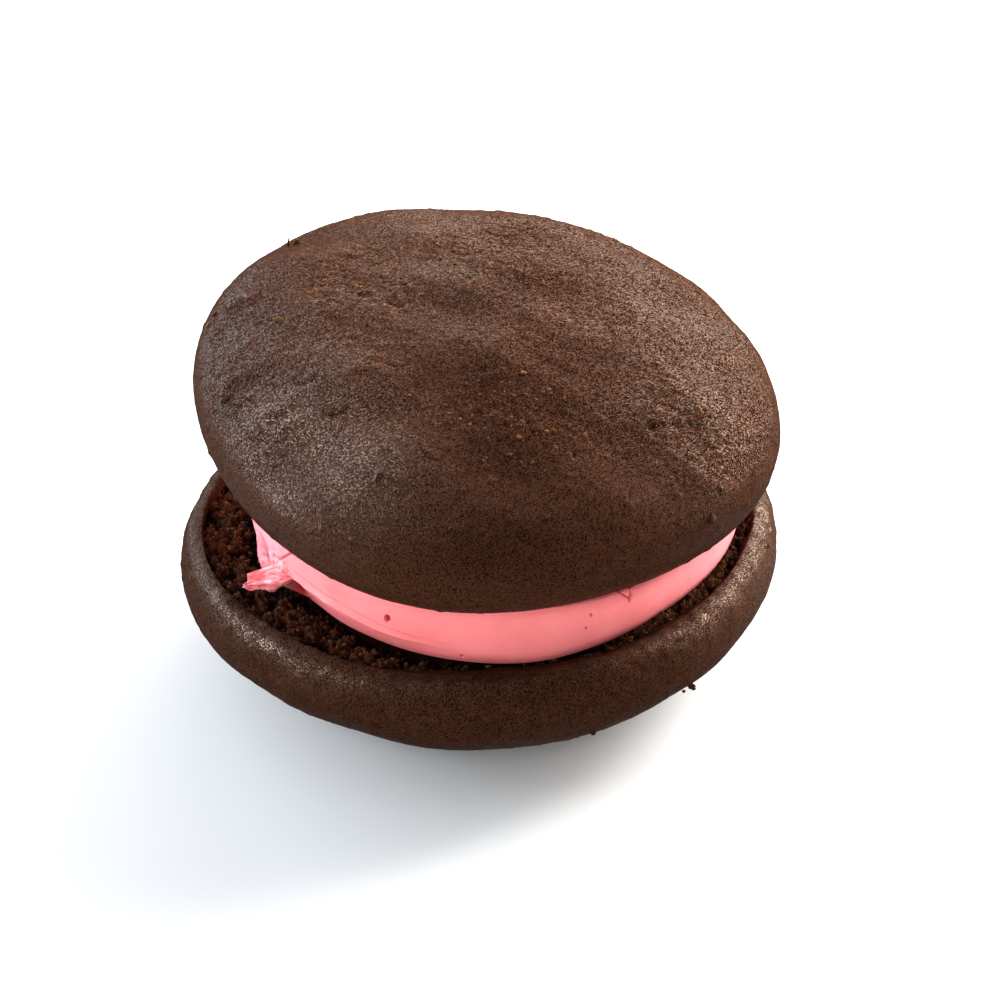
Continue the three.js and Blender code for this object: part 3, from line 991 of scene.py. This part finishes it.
def tongue_points(cream):
    """The torn tongue: a smooth sheet through its net, thickened below, and the shade painted in its valleys.

    It is thin and ragged at its edges. Its relief is noise folded at zero to make sharp ridges, drawn out
    along the tongue.
    """
    rows, columns = TONGUE_GRID
    net = np.array(TONGUE_NET)
    lengthwise, crosswise = spline_weights(len(net), rows), spline_weights(net.shape[1], columns)
    top = np.einsum("ra,abk,cb->rck", lengthwise, net, crosswise)
    along, across = np.meshgrid(np.linspace(0, 1, rows), np.linspace(0, 1, columns), indexing="ij")
    drawn = np.stack([along * 3.2, across * 7.0, 0 * along], axis=-1)
    ridges = 1 - 2 * abs(layered_noise(drawn, size=1.0, seed=131, layers=2))
    normal = grid_normals(top)
    top = top + normal * (0.2 * ridges)[..., None]
    ragged = np.stack([across * 9.0, along * 0.6, 0 * along], axis=-1)
    top[..., 0] -= 0.8 * along**5 * layered_noise(ragged, size=1.0, seed=135, layers=3)
    frayed = np.stack([along * 9.0, across * 0.5, 0 * along], axis=-1)
    top[..., 1] -= 0.35 * across**6 * layered_noise(frayed, size=1.0, seed=137, layers=3)
    from_side, from_tip = np.minimum(across, 1 - across), 1 - along
    thick = cream.tag_thickness / MM * np.sqrt(smooth(from_side / 0.25) * 0.97 + 0.03)
    thick = thick * np.sqrt(smooth(from_tip / 0.12) * 0.9 + 0.1)
    below = top - normal * thick[..., None]
    # painted shade in the valleys between the tongue's ridges
    crease = 0.3 * smooth((-ridges - 0.1) / 0.5) * smooth(from_tip / 0.2)
    return np.concatenate([top, below[:, ::-1]], axis=1), np.concatenate([crease, crease[:, ::-1]], axis=1)


# Crumbs


def lump_mesh():
    """Points and triangles of a round lump: an octahedron, each face split in four, pushed out to a ball."""
    corners = np.array([(1, 0, 0), (0, 1, 0), (-1, 0, 0), (0, -1, 0), (0, 0, 1), (0, 0, -1)], float)
    faces = [(0, 1, 4), (1, 2, 4), (2, 3, 4), (3, 0, 4), (1, 0, 5), (2, 1, 5), (3, 2, 5), (0, 3, 5)]
    edges = sorted({tuple(sorted((f[k], f[k - 2]))) for f in faces for k in range(3)})
    middle = {edge: len(corners) + n for n, edge in enumerate(edges)}
    points = np.concatenate([corners, [corners[a] + corners[b] for a, b in edges]])
    points /= np.linalg.norm(points, axis=1, keepdims=True)
    split = []
    for a, b, c in faces:
        ab, bc, ca = (middle[tuple(sorted(pair))] for pair in ((a, b), (b, c), (c, a)))
        split += [(a, ab, ca), (b, bc, ab), (c, ca, bc), (ab, bc, ca)]
    return points, np.array(split)


def lumps(centres, sizes, stretch, turn, seed):
    """Many uneven lumps as one mesh, with a tint for each: a ball stretched, jittered, turned and scaled."""
    random = np.random.default_rng(seed)
    ball, faces = lump_mesh()
    count = len(centres)
    jitter = 1 + random.uniform(-LUMP_JITTER, LUMP_JITTER, (count, len(ball), 1))
    shape = ball[None] * stretch[:, None] * jitter
    turn = turn[:, None]
    x = shape[..., 0] * np.cos(turn) - shape[..., 1] * np.sin(turn)
    y = shape[..., 0] * np.sin(turn) + shape[..., 1] * np.cos(turn)
    points = np.stack([x, y, shape[..., 2]], axis=-1) * sizes[:, None, None] + centres[:, None]
    all_faces = faces[None] + len(ball) * np.arange(count)[:, None, None]
    tint = np.repeat(random.uniform(0, 1, count), len(ball))
    return points.reshape(-1, 3), all_faces.reshape(-1, 3), tint


def torn_grains(sizes, cream, crumb, random):
    """Grains on the torn crumb and single crumbs on the rim: points, triangles and tints.

    A grain lies at the height of the crags somewhere between the cream's foot and the torn edge. The sizes
    follow a fourth power, so most are small, and the grains down in holes are painted dark as their shade.
    """
    count = crumb.grains
    angle = random.uniform(-math.pi, math.pi, count)
    inner = cream_radius(cream, 0 * angle, angle) + 0.2
    outer = crumb_edge(angle) * outline_factor(LOWER_LOBES, sizes.lower_radius / MM, angle)
    r = inner + (outer - inner) * random.uniform(0, 1.04, count)
    z = np.full_like(r, (sizes.lower_height - sizes.lip_depth) / MM)
    centres = polar(r, angle, z)
    crag = crumb_crags(centres) - foot_dip(cream, r, angle)
    centres[:, 2] += sizes.crag_height / MM * crag + random.uniform(-0.1, 0.15, count)
    size = crumb.grain_size / MM * (0.25 + 0.75 * random.uniform(0, 1, count) ** 4)
    stretch = random.uniform(*LUMP_STRETCH, (count, 3)) * (1, 1, 0.8)
    at, high, out, wide, rim_tint = np.array(RIM_CRUMBS).T
    centres = np.concatenate([centres, polar(out, np.radians(at), high)])
    stretch = np.concatenate([stretch, np.ones((len(at), 3))])
    turn = random.uniform(0, 2 * math.pi, len(centres))
    points, faces, tint = lumps(centres, np.append(size, wide), stretch, turn, seed=6)
    each = len(tint) // len(centres)
    # painted shade: grains low in the crags get a darker tint
    lit = 0.93 * tint[: count * each] * np.repeat(smooth((crag + 0.9) / 0.9), each)
    return points, faces, np.append(lit, np.repeat(rim_tint, each))


def crust_crumbs(sizes, crumb, random):
    """Loose flakes and specks on the upper crust: points, triangles and tints.

    Places spread evenly over a disc are kept with a chance of the wear squared, and lie at the height of the
    crown's superellipse and its swells. The specks' sizes follow a third power.
    """
    many = crumb.specks * SPECK_TRIES
    turn = random.uniform(-math.pi, math.pi, many)
    out = SPECK_REACH * np.sqrt(random.uniform(0, 1, many))
    x, y = out * np.cos(turn), out * np.sin(turn)
    chosen = random.uniform(0, 1, many) < patch_share(WORN_PATCHES, x, y) ** 2
    kept = np.flatnonzero(chosen)[: crumb.specks]
    flakes = np.array(CRUST_FLAKES)
    x, y = np.append(flakes[:, 0], x[kept]), np.append(flakes[:, 1], y[kept])
    radius, rim = sizes.upper_radius / MM, sizes.upper_rim / MM
    factor = outline_factor(UPPER_LOBES, radius, np.arctan2(y, x))
    share = np.clip(1 - (np.hypot(x, y) / factor / radius) ** sizes.upper_roundness, 0, 1)
    z = rim + (sizes.upper_height / MM - rim) * share ** (1 / sizes.upper_roundness) + swell(x, y)
    size = crumb.speck_size / MM * (0.35 + 0.65 * random.uniform(0, 1, len(kept)) ** 3)
    size = np.append(np.ones(len(flakes)), size)
    speck_stretch = random.uniform(*LUMP_STRETCH, (len(kept), 3)) * (1, 1, 0.6)
    stretch = np.concatenate([flakes[:, 2:5], speck_stretch])
    turn = np.append(np.radians(flakes[:, 5]), random.uniform(0, 2 * math.pi, len(kept)))
    points, faces, tint = lumps(np.stack([x, y, z], axis=-1), size, stretch, turn, seed=8)
    points = points @ lean(sizes).T + np.array(sizes.upper_place) / MM
    each = len(tint) // len(x)
    specks_tint = 0.6 + 0.4 * tint[each * len(flakes) :]
    return points, faces, np.append(np.repeat(flakes[:, 6], each), specks_tint)


# Materials


class Look:
    """One material's nodes on Object coordinates; put() sets an input of its shader."""

    def __init__(self, name):
        self.material = bpy.data.materials.new(name)
        self.material.use_nodes = True
        self.nodes = self.material.node_tree.nodes
        self.coords = self.add("ShaderNodeTexCoord").outputs["Object"]

    def put(self, name, value):
        """Sets an input of the shader."""
        self.feed(self.nodes["Principled BSDF"].inputs[name], value)

    def feed(self, socket, value):
        """Links an output to an input, or gives the input a number or colour."""
        if isinstance(value, bpy.types.NodeSocket):
            self.material.node_tree.links.new(value, socket)
        elif isinstance(value, (int, float)):
            socket.default_value = value
        else:
            socket.default_value = (*value, 1)

    def add(self, kind, **values):
        """A new node, with values for the inputs named."""
        node = self.nodes.new(kind)
        for key, value in values.items():
            self.feed(node.inputs[key.replace("_", " ")], value)
        return node

    def noise(self, size_mm, detail, roughness=0.55):
        """Noise of a given size."""
        scale = 1 / (size_mm * MM)
        kind = "ShaderNodeTexNoise"
        node = self.add(kind, Vector=self.coords, Scale=scale, Detail=detail, Roughness=roughness)
        return node.outputs["Fac"]

    def cells(self, size_mm):
        """Cells of a given size: the distance from a cell's middle, and two numbers for each cell."""
        cells = self.add("ShaderNodeTexVoronoi", Vector=self.coords, Scale=1 / (size_mm * MM))
        parts = self.add("ShaderNodeSeparateColor", Color=cells.outputs["Color"])
        return cells.outputs["Distance"], parts.outputs["Red"], parts.outputs["Green"]

    def attribute(self, name):
        """A number stored on the mesh."""
        node = self.add("ShaderNodeAttribute")
        node.attribute_name = name
        return node.outputs["Fac"]

    def ramp(self, value, low, high):
        """Spreads a value from low..high to 0..1 by a smooth step."""
        node = self.add("ShaderNodeMapRange", Value=value, From_Min=low, From_Max=high)
        node.interpolation_type = "SMOOTHSTEP"
        return node.outputs["Result"]

    def math(self, operation, first, second):
        """A calculation with two outputs or numbers."""
        node = self.add("ShaderNodeMath")
        node.operation = operation
        for socket, value in zip(node.inputs, (first, second)):
            self.feed(socket, value)
        return node.outputs["Value"]

    def times(self, first, second):
        """A product."""
        return self.math("MULTIPLY", first, second)

    def total(self, *terms, offset=0.0):
        """A sum of products, and an offset."""
        total = offset
        for first, second in terms:
            total = self.math("ADD", self.times(first, second), total)
        return total

    def mix(self, factor, first, second):
        """Mixes two colours by a factor."""
        node = self.add("ShaderNodeMix")
        node.data_type = "RGBA"
        for key, value in (("Factor", factor), ("A", first), ("B", second)):
            self.feed(node.inputs[key], value)
        return node.outputs["Result"]

    def bump(self, height, strength, distance_mm):
        """Gives the shader a bump of a height."""
        node = self.add("ShaderNodeBump", Height=height, Strength=strength, Distance=distance_mm * MM)
        self.put("Normal", node.outputs["Normal"])


def crust_material(colours):
    """Baked cocoa crust: small plates between dark lines, clouds, light specks where worn, and torn crumb.

    A few plates glint. The gloss attribute raises the sheen, and dark parts and glancing angles lower it. The
    dark attribute is partly painted shade, and the torn crumb has painted shade in its low crags and a
    painted highlight of light flecks on its tops.
    """
    look = Look("cocoa_crust")
    clouds = look.noise(size_mm=3, detail=4, roughness=0.6)
    away, glow, tone = look.cells(size_mm=0.24)
    plates = look.ramp(away, low=0.85, high=0.45)
    dark = look.attribute("dark")
    coarse = look.attribute("coarse")
    grain = look.times(look.total((tone, 0.6), (plates, 1.25), offset=-1.33), coarse)
    # the dark attribute darkens the colour; in pores, pits, grooves, beside lips and on the rims and lip it
    # is painted shade
    shade = look.total((grain, 1.0), (clouds, 0.35), (dark, -0.4), offset=0.12)
    colour = look.mix(look.ramp(shade, low=-0.3, high=0.8), colours.crust_dark, colours.crust)
    spots = look.ramp(look.noise(size_mm=1.0, detail=1), low=0.66, high=0.74)
    colour = look.mix(look.times(spots, look.attribute("worn")), colour, colours.speck)

    # painted shade in the crumb's low crags, darkest down in the holes
    raised = look.ramp(look.attribute("crag"), low=-0.7, high=0.25)
    crumb = look.mix(raised, colours.crumb_dark, colours.crumb)
    # painted highlight: light flecks kept to the raised crumb
    light = look.ramp(look.noise(size_mm=0.7, detail=1), low=0.58, high=0.8)
    crumb = look.mix(look.times(light, raised), crumb, colours.speck)
    torn = look.attribute("torn")
    look.put("Base Color", look.mix(torn, colour, crumb))
    look.put("Roughness", look.math("MAXIMUM", look.total((clouds, 0.25), offset=0.2), torn))

    glint = look.times(plates, look.math("POWER", glow, 4.0))
    sparkle = look.total((glint, 5.0), offset=-0.8)
    glancing = look.ramp(look.add("ShaderNodeLayerWeight").outputs["Facing"], low=0.6, high=0.95)
    shine = look.total((look.attribute("gloss"), 2.44), offset=0.2115)
    for share in (
        look.total((sparkle, coarse), offset=0.92),
        look.total((clouds, 1.2), offset=0.4),
        look.total((dark, -0.8), offset=1.0),
        look.total((glancing, -0.85), offset=1.0),
    ):
        shine = look.times(shine, share)
    look.put("IOR", 1.2)
    look.put("Specular IOR Level", shine)
    look.put("Specular Tint", (1.0, 0.66, 0.5))
    look.bump(look.times(look.total((plates, 0.8), (clouds, 1.8)), coarse), strength=1.0, distance_mm=0.1)
    return look.material


def crumb_material(colours):
    """Loose crumb: brown to orange-brown from lump to lump, matte, and darker where a lump's tint carries
    painted shade.
    """
    look = Look("cocoa_crumb")
    tint = look.attribute("tint")
    colour = look.mix(look.ramp(tint, low=0.06, high=0.64), colours.crumb_dark, colours.crumb)
    look.put("Base Color", look.mix(look.ramp(tint, low=0.75, high=1.0), colour, colours.speck))
    look.put("Roughness", 0.7)
    look.put("Specular IOR Level", 0.12)
    look.bump(look.noise(size_mm=0.3, detail=2), strength=1.0, distance_mm=0.2)
    return look.material


def lighter(colour, times):
    """A colour made lighter, up to white."""
    return tuple(min(1.0, part * times) for part in colour)


def cream_material(colours):
    """Buttercream: satin pink with faint clouds, painted light on its left wall, tongue and right front,
    painted shade in deep red in its creases, and soft inside.
    """
    look = Look("pink_buttercream")
    clouds = look.ramp(look.noise(size_mm=6, detail=3), low=0.35, high=0.7)
    colour = look.mix(clouds, colours.cream, lighter(colours.cream, 1.12))
    # painted light: the pale tint stands for lamp light on the left wall, the tongue and the right front
    colour = look.mix(look.attribute("pale"), colour, colours.cream_painted_light)
    # painted shade: deep red in the creases
    look.put("Base Color", look.mix(look.attribute("crease"), colour, colours.crease))
    look.put("Roughness", 0.36)
    look.put("IOR", 1.45)
    look.put("Subsurface Weight", 0.15)
    look.nodes["Principled BSDF"].inputs["Subsurface Radius"].default_value = (1.0, 0.35, 0.3)
    look.put("Subsurface Scale", 0.0012)
    look.bump(look.noise(size_mm=0.35, detail=3), strength=0.5, distance_mm=0.08)
    return look.material


def floor_material(colours):
    """Plain pale floor with the faintest mottling."""
    look = Look("pale_floor")
    mottle = look.noise(size_mm=60, detail=2)
    look.put("Base Color", look.mix(mottle, colours.floor, lighter(colours.floor, 1.02)))
    look.put("Roughness", 0.9)
    return look.material


def shared_material(name, make, colours):
    """The named material, made on its first use."""
    return bpy.data.materials.get(name) or make(colours)


# Operators


class PIE_OT_lower_cake(bpy.types.Operator):
    """Builds the lower cake: crown down, rolled rim, torn crumb face up"""

    bl_idname = "pie.lower_cake"
    bl_label = "Lower Cake"

    def execute(self, context):
        scene = context.scene
        sizes = scene.pie_cakes
        grid, shares = lower_cake_points(sizes, scene.pie_cream)
        middle = (0, 0, (sizes.lower_height - sizes.lip_depth) / MM)
        piece = put_cake("lower_cake_baked", grid, shares, middle, scene.pie_colours)
        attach(piece, "root")
        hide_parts("lower_cake")
        return {"FINISHED"}


class PIE_OT_upper_cake(bpy.types.Operator):
    """Builds the upper cake: crown up, leaning to the front and right"""

    bl_idname = "pie.upper_cake"
    bl_label = "Upper Cake"

    def execute(self, context):
        scene = context.scene
        sizes = scene.pie_cakes
        grid, shares = upper_cake_points(sizes)
        middle = (0, 0, sizes.lip_depth / MM)
        place = np.array(sizes.upper_place) / MM
        turn = lean(sizes)
        piece = put_cake("upper_cake_baked", grid, shares, middle, scene.pie_colours, True, turn, place)
        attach(piece, "root")
        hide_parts("upper_cake")
        return {"FINISHED"}


class PIE_OT_cream(bpy.types.Operator):
    """Builds the buttercream and its torn tongue"""

    bl_idname = "pie.cream"
    bl_label = "Cream"

    def execute(self, context):
        scene = context.scene
        sizes, cream = scene.pie_cakes, scene.pie_cream
        material = shared_material("pink_buttercream", cream_material, scene.pie_colours)
        no_crease = (0, 0)

        grid, crease = cream_points(sizes, cream)
        foot = (sizes.lower_height - sizes.lip_depth + cream.gap - cream.sink) / MM
        top = float(cream_ceiling(sizes, cream, 0.0, 0.0))
        points = np.concatenate([grid.reshape(-1, 3), [(0, 0, foot), (0, 0, top)]])
        crease = np.append(crease.ravel(), no_crease)
        at = np.arctan2(points[:, 1], points[:, 0])
        # painted light on the left wall and the right front
        pale = sum(strength * sector(at, middle, spread) for middle, spread, strength in CREAM_PAINTED_LIGHT)
        body = put_mesh("cream_layer", points, tube_faces(*CREAM_GRID), material, crease=crease, pale=pale)

        tag, crease = tongue_points(cream)
        rows, columns, _ = tag.shape
        points = np.concatenate([tag.reshape(-1, 3), [tag[0].mean(0), tag[-1].mean(0)]])
        crease = np.append(crease.ravel(), no_crease)
        # painted light over the whole tongue
        pale = np.full(len(points), TONGUE_PAINTED_LIGHT)
        tongue = put_mesh(
            "cream_tongue", points, tube_faces(rows, columns), material, crease=crease, pale=pale
        )
        for piece in (body, tongue):
            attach(piece, "root")
            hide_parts("cream_filling")
        return {"FINISHED"}


class PIE_OT_crumbs(bpy.types.Operator):
    """Scatters lumps on the torn crumb and specks on the upper crust"""

    bl_idname = "pie.crumbs"
    bl_label = "Crumbs"

    def execute(self, context):
        scene = context.scene
        sizes, crumb = scene.pie_cakes, scene.pie_crumb
        material = shared_material("cocoa_crumb", crumb_material, scene.pie_colours)
        random = np.random.default_rng(5)
        points, faces, tint = torn_grains(sizes, scene.pie_cream, crumb, random)
        grains = put_mesh("torn_crumb_lumps", points, [faces], material, tint=tint)
        grains.data.shade_flat()
        points, faces, tint = crust_crumbs(sizes, crumb, random)
        specks = put_mesh("crust_specks", points, [faces], material, tint=tint)
        for piece in (grains, specks):
            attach(piece, "root")
        return {"FINISHED"}


class PIE_OT_stage(bpy.types.Operator):
    """Sets up the pale floor, the soft lights and the camera"""

    bl_idname = "pie.stage"
    bl_label = "Stage"

    def execute(self, context):
        scene = context.scene
        stage = scene.pie_stage
        aim = Vector(stage.aim)
        side = np.linspace(-FLOOR_REACH, FLOOR_REACH, FLOOR_POINTS)
        x, y = np.meshgrid(side, side, indexing="ij")
        plane = np.stack([x, y, np.zeros_like(x)], axis=-1).reshape(-1, 3)
        material = shared_material("pale_floor", floor_material, scene.pie_colours)
        floor = put_mesh("floor", plane, [grid_faces(FLOOR_POINTS, FLOOR_POINTS)[:, ::-1]], material)
        floor.visible_glossy = False

        for name, place, wide, tall, colour, lights, glares in LAMPS:
            light = bpy.data.lights.new("light_" + name, "AREA")
            light.shape = "RECTANGLE"
            light.size = wide
            light.size_y = tall
            light.energy = getattr(stage, name)
            light.color = colour
            lamp = bpy.data.objects.new(light.name, light)
            lamp.visible_diffuse = lights
            lamp.visible_glossy = glares
            lamp.location = place
            lamp.rotation_euler = (aim - Vector(place)).to_track_quat("-Z", "Y").to_euler()
            scene.collection.objects.link(lamp)

        world = bpy.data.worlds.new("even_sky")
        world.use_nodes = True
        world.node_tree.nodes["Background"].inputs["Color"].default_value = (1, 1, 1, 1)
        world.node_tree.nodes["Background"].inputs["Strength"].default_value = stage.sky
        scene.world = world
        scene.view_settings.view_transform = "Standard"

        away = Vector((0, -math.cos(stage.elevation), math.sin(stage.elevation)))
        right = Vector((1, 0, 0))
        up = right.cross(-away)
        turned_right = right * math.cos(stage.roll) + up * math.sin(stage.roll)
        turned_up = up * math.cos(stage.roll) - right * math.sin(stage.roll)
        turn = Matrix((turned_right, turned_up, away)).transposed().to_4x4()
        camera = bpy.data.objects.new("camera", bpy.data.cameras.new("camera"))
        camera.data.sensor_width = SENSOR_MM
        camera.data.lens = stage.lens
        camera.data.clip_start = CLIP_START
        camera.matrix_world = Matrix.Translation(aim + away * stage.distance) @ turn
        scene.collection.objects.link(camera)
        scene.camera = camera
        return {"FINISHED"}


class PIE_PT_panel(bpy.types.Panel):
    """Lists the pie's sizes, colours and pieces"""

    bl_idname = "PIE_PT_panel"
    bl_label = "Whoopie Pie"
    bl_space_type = "VIEW_3D"
    bl_region_type = "UI"
    bl_category = "Whoopie Pie"

    def draw(self, context):
        for operator in OPERATORS:
            self.layout.operator(operator.bl_idname)
        for name in GROUPS:
            group = getattr(context.scene, name)
            box = self.layout.box()
            for key in group.bl_rna.properties.keys():
                if key not in ("rna_type", "name"):
                    box.prop(group, key)


GROUPS = {
    "pie_cakes": CakeSizes,
    "pie_cream": CreamSizes,
    "pie_crumb": CrumbSizes,
    "pie_colours": PieColours,
    "pie_stage": StageSizes,
}
OPERATORS = (PIE_OT_stage, PIE_OT_lower_cake, PIE_OT_cream, PIE_OT_upper_cake, PIE_OT_crumbs)
CLASSES = (*GROUPS.values(), *OPERATORS, PIE_PT_panel)


def register():
    for made in CLASSES:
        bpy.utils.register_class(made)
    for name, group in GROUPS.items():
        setattr(bpy.types.Scene, name, PointerProperty(type=group))


def unregister():
    for name in GROUPS:
        delattr(bpy.types.Scene, name)
    for made in reversed(CLASSES):
        bpy.utils.unregister_class(made)


def main():
    """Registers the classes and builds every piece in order."""
    register()
    bpy.ops.pie.stage()
    bpy.ops.pie.lower_cake()
    bpy.ops.pie.cream()
    bpy.ops.pie.upper_cake()
    bpy.ops.pie.crumbs()


if __name__ == "__main__":
    main()
